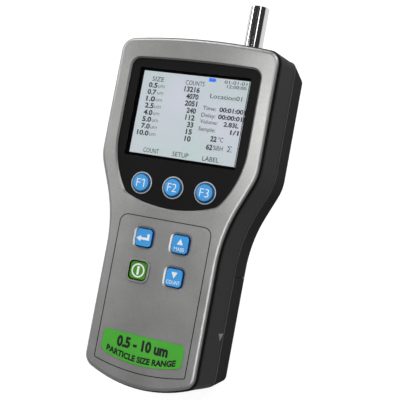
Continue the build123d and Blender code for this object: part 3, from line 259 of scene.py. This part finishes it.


# --- Dark middle case and near-black rear case ------------------------------------------------
# Two unpainted ABS mouldings with a fine spark-eroded texture. The battery door is moulded in
# the same plastic as the rear case. Upward faces of both, such as the rear case's narrow ledge,
# carry a painted highlight in a lighter grey.
dark_plastic = painted_surface(
    "dark_grey_abs", (0.030, 0.030, 0.031), 0.6, grain=1900, depth=0.03, gloss=0.03,
)
finish_nodes(dark_plastic, "mid_case")
rear_plastic = painted_surface(
    "black_abs", (0.11, 0.11, 0.11), 0.70, grain=1900, depth=0.03, gloss=0.02,
)
# Painted highlight: upward faces keep the lighter grey, the rest darkens towards near black.
paint_shade_on_sides(rear_plastic, (0.042, 0.042, 0.043), steep=0.6, flat=0.95)
finish_nodes(rear_plastic, "rear_case", "battery_door")


# --- Door arrows on the sides -----------------------------------------------------------------
# A low grey arrowhead on each side wall points to the heel, the way that the battery door
# slides. It is a shallow frustum that lies on the sloping wall.
ARROW_Y, ARROW_Z = -84.3, 31.4
ARROW_LONG, ARROW_WIDE = 4.6, 8.4
ARROW_LIFT = 0.35
BACK_BEVEL, SIDE_BEVEL, TIP_BEVEL = 0.75, 1.2, 1.05
WALL_TOP = (37.9, 53.4)       # half width and z at the upper edge of the grip's side wall
WALL_FOOT = (39.25, 26.6)


def grip_wall_x(z):
    """Half width of the middle case's side wall at the grip: a straight line in z."""
    share = (WALL_TOP[1] - z) / (WALL_TOP[1] - WALL_FOOT[1])
    return WALL_TOP[0] + (WALL_FOOT[0] - WALL_TOP[0]) * share


def carried_mesh(name, points, faces, material, body):
    """New piece from points in mm, in one material, that rides on a body."""
    mesh = bpy.data.meshes.new(name)
    mesh.from_pydata((np.asarray(points) * MM).tolist(), [], faces)
    mesh.materials.append(material)
    obj = bpy.data.objects.new(name, mesh)
    scene.collection.objects.link(obj)
    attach(obj, body)


def arrow_corners(side):
    """Foot and top triangle of the frustum: (wall + lift, y, z), with the tip towards -Y."""
    corners = []
    for top in (0, 1):
        half = ARROW_WIDE / 2 - top * SIDE_BEVEL
        back = ARROW_LONG / 2 - top * BACK_BEVEL
        tip = top * TIP_BEVEL - ARROW_LONG / 2
        for along, up in ((back, half), (back, -half), (tip, 0)):
            z = ARROW_Z + up
            corners.append((side * (grip_wall_x(z) + top * ARROW_LIFT), ARROW_Y + along, z))
    return corners


arrow_grey = painted_surface("arrow_grey", (0.13, 0.13, 0.13), 0.5, grain=900, depth=0.002)
left_faces = [(0, 1, 2), (5, 4, 3), (0, 3, 4, 1), (1, 4, 5, 2), (2, 5, 3, 0)]
right_faces = [face[::-1] for face in left_faces]    # mirrored, so turned to face outwards
for name, side, faces in (("right", 1, right_faces), ("left", -1, left_faces)):
    carried_mesh(f"door_arrow_{name}", arrow_corners(side), faces, arrow_grey, "housing")


# --- Frame line round the keypad --------------------------------------------------------------
# A groove is cut into the cover round the keys and the label. A black strip fills about a
# quarter of its depth: painted shade for the dark of the groove.
FRAME_HALF = 30.4
FRAME_TOP_Y, FRAME_FOOT_Y = -19.5, -113.4
FRAME_FOOT_R, FRAME_CORNER_R = 120.0, 5.5
GROOVE_WIDTH = 0.55
GROOVE_FLOOR_Z = 57.2
SHADE_STRIP_THICK = 0.2


def tongue_points(inset, parts=14):
    """Outline of the frame, inset mm inside its outer edge, counter-clockwise from the left.

    The foot runs along y = foot + R - sqrt(R^2 - x^2); each upper corner is a quarter circle.
    """
    half, corner = FRAME_HALF - inset, FRAME_CORNER_R - inset
    top, foot, foot_r = FRAME_TOP_Y - inset, FRAME_FOOT_Y + inset, FRAME_FOOT_R - inset
    x = np.linspace(-half, half, 3 * parts)
    foot_arc = np.column_stack([x, foot + foot_r - np.sqrt(foot_r**2 - x**2)])
    turn = np.linspace(0, np.pi / 2, parts)
    quarter = corner * np.column_stack([np.cos(turn), np.sin(turn)])
    right = quarter + (half - corner, top - corner)
    left = (quarter * (-1, 1))[::-1] + (corner - half, top - corner)
    return np.vstack([foot_arc, right, left])


def flat_print_and_shade(name, material, body, outlines, height, thick=0.02):
    """Thin print and painted shade: each outline is an N x 2 array of points in mm,
    counter-clockwise.

    Every outline becomes a prism: its top face at height + thick, its foot at height.
    """
    points, faces, start = [], [], 0
    for outline in outlines:
        outline = np.asarray(outline, float)
        count = len(outline)
        points.append(np.column_stack([outline, np.full(count, height + thick)]))
        points.append(np.column_stack([outline, np.full(count, float(height))]))
        ring = np.arange(count)
        after = (ring + 1) % count
        walls = np.column_stack([ring, ring + count, after + count, after])
        faces.append((start + ring).tolist())
        faces.append((start + count + ring[::-1]).tolist())
        faces += (start + walls).tolist()
        start += 2 * count
    carried_mesh(name, np.vstack(points), faces, material, body)


# Painted shade: a black strip along the groove's floor.
groove_shade = painted_surface(
    "groove_shade", (0.012, 0.012, 0.012), 0.7, grain=900, depth=0.002,
)
rim, inner = tongue_points(0.0), tongue_points(GROOVE_WIDTH)
groove_quads = np.stack([rim, np.roll(rim, -1, 0), np.roll(inner, -1, 0), inner], axis=1)
flat_print_and_shade(
    "frame_line_shade", groove_shade, "housing", groove_quads, GROOVE_FLOOR_Z, thick=SHADE_STRIP_THICK,
)


# --- Display panel and window -----------------------------------------------------------------
# Black satin ABS panel that fills the opening of the cover, with a clear acrylic window let in.
black_panel = painted_surface(
    "black_panel", (0.008, 0.008, 0.008), 0.40, grain=2400, depth=0.01, gloss=0.12,
)
finish_nodes(black_panel, "display_bezel")
clear_acrylic = painted_surface(
    "clear_acrylic", (0.97, 0.98, 0.98), 0.05, grain=300, depth=0.0005, spread=0.01,
)
acrylic = clear_acrylic.node_tree.nodes["Principled BSDF"]
acrylic.inputs["Transmission Weight"].default_value = 1.0
acrylic.inputs["IOR"].default_value = 1.49
finish_nodes(clear_acrylic, "display_lens")


# --- Screen -----------------------------------------------------------------------------------
# A lit 3.5-inch liquid-crystal panel in a black sheet-metal frame. It glows pale grey-blue, with
# a faint warm and cool sheen, and shows a table of particle sizes and counts.
SCREEN_X, SCREEN_Y = 0.0, 45.1
SCREEN_FACE_Z = 52.0
ROW_PITCH = 4.37
ROW_TOP_Y = 17.5
CAPITAL = 0.70            # height of a capital in Blender's font, for a text size of 1
SIZES = ("0.5", "0.7", "1.0", "2.5", "4.0", "5.0", "7.0", "10.0")
COUNTS = ("13216", "4070", "2051", "240", "112", "33", "15", "10")

screen_glow = bpy.data.materials.new("screen_glow")
screen_glow.use_nodes = True
tree = screen_glow.node_tree
shader = tree.nodes["Principled BSDF"]
shader.inputs["Roughness"].default_value = 0.3
shader.inputs["Base Color"].default_value = (0.06, 0.06, 0.065, 1)
place = tree.nodes.new("ShaderNodeTexCoord")
sheen = noise_on_object(tree, place, 28.0, 1.0)
tint = tree.nodes.new("ShaderNodeValToRGB")
cool, warm = tint.color_ramp.elements
cool.position, warm.position = 0.3, 0.7
cool.color = (0.56, 0.66, 0.66, 1)
warm.color = (0.64, 0.66, 0.74, 1)
tree.links.new(sheen, tint.inputs["Fac"])
tree.links.new(tint.outputs["Color"], shader.inputs["Emission Color"])
shader.inputs["Emission Strength"].default_value = 0.95
finish_nodes(screen_glow, "lcd_glass")
finish_nodes(painted_surface("black_sheet_metal", (0.02, 0.02, 0.02), 0.4, metal=0.3), "lcd_frame")
foam = painted_surface("foam_gasket", (0.018, 0.018, 0.018), 0.9, grain=900, depth=0.1)
finish_nodes(foam, "lcd_gasket")


def lettering(name, lines, material, body, height, thick=0.02, weight=0.0, bend=0.0):
    """One mesh of printed words.

    lines holds (words, x, y, letter height, width, align) in mm. Each line is scaled so that a
    capital is as tall as asked and the words as wide as asked. bend is the radius of an arc
    that the line follows: a point moves up by R - sqrt(R^2 - x^2).
    """
    points, faces, start = [], [], 0
    for words, x, y, tall, wide, align in lines:
        curve = bpy.data.curves.new("words", "FONT")
        curve.body = words
        curve.offset = weight
        curve.resolution_u = 3
        carrier = bpy.data.objects.new("words", curve)
        scene.collection.objects.link(carrier)
        bpy.context.view_layer.update()
        shaped = carrier.evaluated_get(bpy.context.evaluated_depsgraph_get())
        mesh = bpy.data.meshes.new_from_object(shaped)
        flat = np.empty(3 * len(mesh.vertices))
        mesh.vertices.foreach_get("co", flat)
        flat = flat.reshape(-1, 3)[:, :2]
        low, high = flat.min(0), flat.max(0)
        anchor = {"L": low[0], "C": (low[0] + high[0]) / 2, "R": high[0]}[align]
        flat = (flat - (anchor, 0)) * (wide / (high[0] - low[0]), tall / CAPITAL)
        flat += (x, y - tall / 2)
        if bend:
            flat[:, 1] += bend - np.sqrt(bend**2 - flat[:, 0] ** 2)
        points.append(np.column_stack([flat, np.full(len(flat), height + thick)]))
        faces += [[i + start for i in polygon.vertices] for polygon in mesh.polygons]
        start += len(flat)
        bpy.data.objects.remove(carrier)
        bpy.data.curves.remove(curve)
        bpy.data.meshes.remove(mesh)
    carried_mesh(name, np.vstack(points), faces, material, body)


def on_screen(lines):
    """Lines given from the middle of the screen, moved to their place on the panel."""
    return [(line[0], line[1] + SCREEN_X, line[2] + SCREEN_Y, *line[3:]) for line in lines]


screen_ink = painted_surface("screen_ink", (0.020, 0.024, 0.032), 0.6, grain=900, depth=0.001)
table_lines, unit_lines = [], []
for row, (size, count) in enumerate(zip(SIZES, COUNTS)):
    y = ROW_TOP_Y - row * ROW_PITCH
    table_lines.append((size, -24.4, y, 3.0, 2.0 * len(size), "R"))
    unit_lines.append(("um", -23.8, y, 2.6, 4.2, "L"))
    table_lines.append((count, 4.2, y, 3.1, 2.05 * len(count), "R"))
heading_lines = [
    ("SIZE", -24.7, 21.6, 2.9, 8.0, "C"),
    ("COUNTS", 0.3, 21.6, 2.9, 12.6, "C"),
    ("Location01", 21.9, 15.0, 2.8, 20.6, "C"),
    ("Time:", 12.6, 7.2, 2.5, 8.6, "C"),
    ("Delay:", 12.8, 2.8, 2.5, 9.4, "C"),
    ("Volume:", 13.8, -1.2, 2.5, 11.4, "C"),
    ("Sample:", 13.4, -5.8, 2.5, 11.0, "C"),
    ("°C", 23.4, -11.1, 2.9, 3.4, "C"),
    ("%RH", 22.6, -16.4, 2.9, 6.2, "C"),
    ("COUNT", -20.5, -23.6, 2.9, 10.6, "C"),
    ("SETUP", -0.6, -23.6, 2.9, 10.6, "C"),
    ("LABEL", 19.3, -23.6, 2.9, 10.6, "C"),
]
value_lines = [
    ("00:01:00", 26.8, 7.2, 2.7, 15.4, "C"),
    ("00:00:01", 26.8, 2.8, 2.7, 15.4, "C"),
    ("2.83L", 28.3, -1.4, 2.7, 9.6, "C"),
    ("1/1", 31.2, -5.8, 2.7, 5.4, "C"),
    ("22", 18.8, -11.1, 3.1, 4.1, "C"),
    ("62", 17.0, -16.4, 3.1, 4.1, "C"),
]
date_lines = [
    ("01-01-01", 26.4, 24.4, 2.0, 14.6, "C"),
    ("12:00:00", 27.4, 21.8, 2.0, 12.4, "C"),
]
for name, lines, weight in (
    ("screen_table", table_lines + value_lines, 0.034),
    ("screen_units", unit_lines, -0.008),
    ("screen_words", heading_lines, 0.004),
    ("screen_clock", date_lines, 0.008),
):
    lettering(name, on_screen(lines), screen_ink, "housing", SCREEN_FACE_Z, weight=weight)


def box_outline(x, y, wide, tall):
    """Corners of an upright rectangle, counter-clockwise, about its middle."""
    return [(x + i * wide / 2, y + j * tall / 2) for i, j in ((-1, -1), (1, -1), (1, 1), (-1, 1))]


sigma = 0.9 * np.array([
    (1.3, 1.5), (-0.9, 1.5), (0.75, 0), (-0.9, -1.5), (1.3, -1.5), (1.6, -1.0), (1.6, -1.9),
    (-1.6, -1.9), (-1.6, -1.5), (0.1, 0), (-1.6, 1.5), (-1.6, 1.9), (1.6, 1.9), (1.6, 1.0),
])
flat_print_and_shade(
    "screen_sigma", screen_ink, "housing", [sigma + (SCREEN_X + 30.0, SCREEN_Y - 16.0)],
    SCREEN_FACE_Z,
)
battery_blue = painted_surface("screen_blue", (0.02, 0.16, 0.85), 0.5, grain=800, depth=0.001)
glow_blue = battery_blue.node_tree.nodes["Principled BSDF"]
glow_blue.inputs["Emission Color"].default_value = (0.02, 0.16, 0.85, 1)
glow_blue.inputs["Emission Strength"].default_value = 0.8
icon_x, icon_y = SCREEN_X + 11.0, SCREEN_Y + 24.7
icon = [box_outline(icon_x, icon_y, 4.2, 2.2), box_outline(icon_x + 2.3, icon_y, 0.6, 1.1)]
flat_print_and_shade("screen_battery", battery_blue, "housing", icon, SCREEN_FACE_Z)


# --- Function keys ----------------------------------------------------------------------------
# Round blue caps, moulded in gloss ABS, each in a light grey press-fit ring, with white printing.
ROUND_KEY_PITCH = 21.1
ROUND_KEY_Y = 0.5
ROUND_KEY_TOP_Z = 58.6
key_blue = painted_surface(
    "key_blue", (0.060, 0.355, 0.790), 0.30, grain=1500, depth=0.008, spread=0.05,
)
# Painted shade: the caps' sides are darker than their tops.
paint_shade_on_sides(key_blue, (0.004, 0.045, 0.16))
print_white = painted_surface(
    "print_white", (0.86, 0.88, 0.90), 0.5, grain=900, depth=0.001, spread=0.03,
)
ring_grey = painted_surface("ring_grey", (0.55, 0.57, 0.60), 0.28, grain=1500, depth=0.005)
for name, place, wide in (("f1", -1, 5.4), ("f2", 0, 6.0), ("f3", 1, 6.0)):
    finish_nodes(key_blue, f"key_{name}")
    finish_nodes(ring_grey, f"key_ring_{name}")
    lettering(
        f"legend_{name}",
        [(name.upper(), place * ROUND_KEY_PITCH, ROUND_KEY_Y, 5.2, wide, "C")],
        print_white, f"key_{name}", ROUND_KEY_TOP_Z, weight=-0.008,
    )
flag = np.array([(1.95, 2.6), (1.6, 2.6), (0.75, 1.75), (0.75, 1.25), (1.95, 1.95)])
flat_print_and_shade(
    "legend_f1_flag", print_white, "key_f1", [flag + (-ROUND_KEY_PITCH, ROUND_KEY_Y)],
    ROUND_KEY_TOP_Z,
)


# --- Square keys ------------------------------------------------------------------------------
# Three blue caps and a green one that sits low inside a raised guard. Symbols in white.
KEY_X = 12.0
UPPER_Y = -32.5
LOWER_Y = -52.7
BLUE_TOP_Z = 58.9
GREEN_TOP_Z = 58.1
key_green = painted_surface(
    "key_green", (0.065, 0.300, 0.012), 0.32, grain=1500, depth=0.008, spread=0.06,
)
# Painted shade: the green cap's sides are darker than its top.
paint_shade_on_sides(key_green, (0.010, 0.060, 0.003))
finish_nodes(key_blue, "key_enter", "key_up", "key_down")
finish_nodes(key_green, "key_power")

enter_arrow = np.array([
    (-4.8, -0.6), (-1.9, -2.5), (-1.9, -1.3), (3.8, -1.3), (3.8, 2.5), (2.2, 2.5), (2.2, 0.2),
    (-1.9, 0.2), (-1.9, 1.3),
])
triangle = np.array([(-2.0, -1.7), (2.0, -1.7), (0, 2.0)])
for name, outline, x, y in (
    ("enter", enter_arrow, -KEY_X, UPPER_Y),
    ("up", triangle, KEY_X, UPPER_Y + 1.5),
    ("down", -triangle, KEY_X, LOWER_Y + 1.7),
):
    flat_print_and_shade(f"legend_{name}", print_white, f"key_{name}", [outline + (x, y)], BLUE_TOP_Z)
for name, key, y, wide in (
    ("mass", "key_up", UPPER_Y - 2.9, 6.5), ("count", "key_down", LOWER_Y - 2.7, 8.7),
):
    lettering(
        f"legend_{name}", [(name.upper(), KEY_X, y, 2.2, wide, "C")],
        print_white, key, BLUE_TOP_Z, weight=0.006,
    )


def band_quads(radius, width, x, y, parts=48):
    """Flat ring as short four-cornered pieces: inner and outer radius at equal angles."""
    angle = np.linspace(0, 2 * np.pi, parts + 1)
    rim = np.column_stack([np.cos(angle), np.sin(angle)])
    inner, outer = rim * (radius - width / 2), rim * (radius + width / 2)
    quads = np.stack([inner[:-1], outer[:-1], outer[1:], inner[1:]], axis=1)
    return list(quads + (x, y))


power_sign = band_quads(3.85, 0.95, -KEY_X, LOWER_Y) + [box_outline(-KEY_X, LOWER_Y, 1.5, 5.3)]
flat_print_and_shade("legend_power", print_white, "key_power", power_sign, GREEN_TOP_Z)


# --- Label ------------------------------------------------------------------------------------
# Green polyester film stuck into a shallow bed at the foot of the cover, printed in black.
LABEL_TOP_Z = 58.15
label_green = painted_surface(
    "label_green", (0.070, 0.430, 0.035), 0.42, grain=1200, depth=0.004, spread=0.06,
)
finish_nodes(label_green, "label_strip")
print_black = painted_surface("print_black", (0.006, 0.006, 0.007), 0.5, grain=900, depth=0.001)
lettering(
    "label_range", [("0.5 - 10 um", 0, -96.4, 6.0, 34.0, "C")], print_black, "housing",
    LABEL_TOP_Z, weight=0.055,
)
lettering(
    "label_words", [("PARTICLE SIZE RANGE", 0, -105.0, 3.4, 46.0, "C")], print_black, "housing",
    LABEL_TOP_Z, weight=0.050, bend=82.0,
)


# --- Inlet tube and grommet -------------------------------------------------------------------
# Polished stainless tube, pushed through a black rubber grommet into the optical chamber.
polished_steel = painted_surface(
    "polished_steel", (0.55, 0.55, 0.56), 0.10, metal=1.0, grain=700, depth=0.0008, spread=0.03,
)
finish_nodes(polished_steel, "inlet_tube")
black_rubber = painted_surface(
    "black_rubber", (0.015, 0.015, 0.015), 0.65, grain=1200, depth=0.03,
)
finish_nodes(black_rubber, "inlet_grommet")


# --- Parts inside the case --------------------------------------------------------------------
# Boards with solder mask, brass spacers, zinc-plated and anodised metal, hoses and the battery.
TRACK_SCALE = 160.0
PAD_SCALE = 420.0


def circuit_board(name):
    """Green solder mask: a brick pattern for the tracks and small tinned cells for the pads."""
    material = painted_surface(name, (0.010, 0.085, 0.028), 0.32, grain=1500, depth=0.01, coat=0.4)
    tree = material.node_tree
    place = tree.nodes["Texture Coordinate"]
    tracks = tree.nodes.new("ShaderNodeTexBrick")
    tracks.inputs["Scale"].default_value = TRACK_SCALE
    tracks.inputs["Color1"].default_value = (0.010, 0.085, 0.028, 1)
    tracks.inputs["Color2"].default_value = (0.014, 0.11, 0.036, 1)
    tracks.inputs["Mortar"].default_value = (0.03, 0.17, 0.06, 1)
    tracks.inputs["Mortar Size"].default_value = 0.06
    tree.links.new(place.outputs["Object"], tracks.inputs["Vector"])
    pads = tree.nodes.new("ShaderNodeTexVoronoi")
    pads.inputs["Scale"].default_value = PAD_SCALE
    tree.links.new(place.outputs["Object"], pads.inputs["Vector"])
    mix = tree.nodes.new("ShaderNodeMix")
    mix.data_type = "RGBA"
    small = math_node(tree, "LESS_THAN", pads.outputs["Distance"], 0.16)
    tree.links.new(small, mix.inputs["Factor"])
    tree.links.new(tracks.outputs["Color"], mix.inputs["A"])
    mix.inputs["B"].default_value = (0.45, 0.44, 0.40, 1)
    tree.links.new(mix.outputs["Result"], tree.nodes["Principled BSDF"].inputs["Base Color"])
    return material


finish_nodes(circuit_board("solder_mask"), "front_board", "main_board", "sensor_board")
silicone = painted_surface("silicone_mat", (0.30, 0.30, 0.31), 0.6, grain=1100, depth=0.02)
finish_nodes(silicone, "keypad_mat")
brass = painted_surface("turned_brass", (0.62, 0.42, 0.15), 0.28, metal=1.0, grain=1400, depth=0.01)
finish_nodes(brass, "board_spacers", "laser_module", "exhaust_fitting", "tripod_insert")
aluminium = painted_surface(
    "sheet_aluminium", (0.60, 0.61, 0.62), 0.38, metal=1.0, grain=1000, depth=0.01,
)
finish_nodes(aluminium, "chassis_plate")
anodised = painted_surface(
    "black_anodised", (0.02, 0.02, 0.022), 0.4, metal=0.7, grain=1700, depth=0.01,
)
finish_nodes(anodised, "optical_chamber", "beam_trap")
nylon = painted_surface("black_nylon", (0.02, 0.02, 0.02), 0.5, grain=1500, depth=0.02)
finish_nodes(nylon, "photodetector", "pump_head", "humidity_sensor", "buzzer", "dc_jack")
zinc = painted_surface("zinc_plate", (0.52, 0.52, 0.50), 0.35, metal=1.0, grain=900, depth=0.01)
finish_nodes(zinc, "pump_motor")
nickel = painted_surface(
    "nickel_plate", (0.62, 0.60, 0.56), 0.22, metal=1.0, grain=1200, depth=0.004,
)
finish_nodes(nickel, "usb_port", "battery_contacts")
black_oxide = painted_surface(
    "black_oxide", (0.025, 0.025, 0.026), 0.35, metal=0.8, grain=1800, depth=0.01,
)
finish_nodes(black_oxide, "case_screws", "front_board_screws")
filter_shell = painted_surface(
    "white_filter_shell", (0.70, 0.70, 0.67), 0.4, grain=1200, depth=0.01,
)
finish_nodes(filter_shell, "air_filter")
hose = painted_surface("silicone_hose", (0.55, 0.55, 0.50), 0.4, grain=1200, depth=0.01)
hose.node_tree.nodes["Principled BSDF"].inputs["Transmission Weight"].default_value = 0.4
finish_nodes(hose, "suction_hose", "pressure_hose", "exhaust_hose")
shrink_wrap = painted_surface(
    "shrink_wrap", (0.015, 0.05, 0.30), 0.3, grain=500, depth=0.02, spread=0.08,
)
finish_nodes(shrink_wrap, "battery_pack")
foam_pad = painted_surface("foam_pad", (0.02, 0.02, 0.02), 0.95, grain=800, depth=0.15)
finish_nodes(foam_pad, "battery_pad")
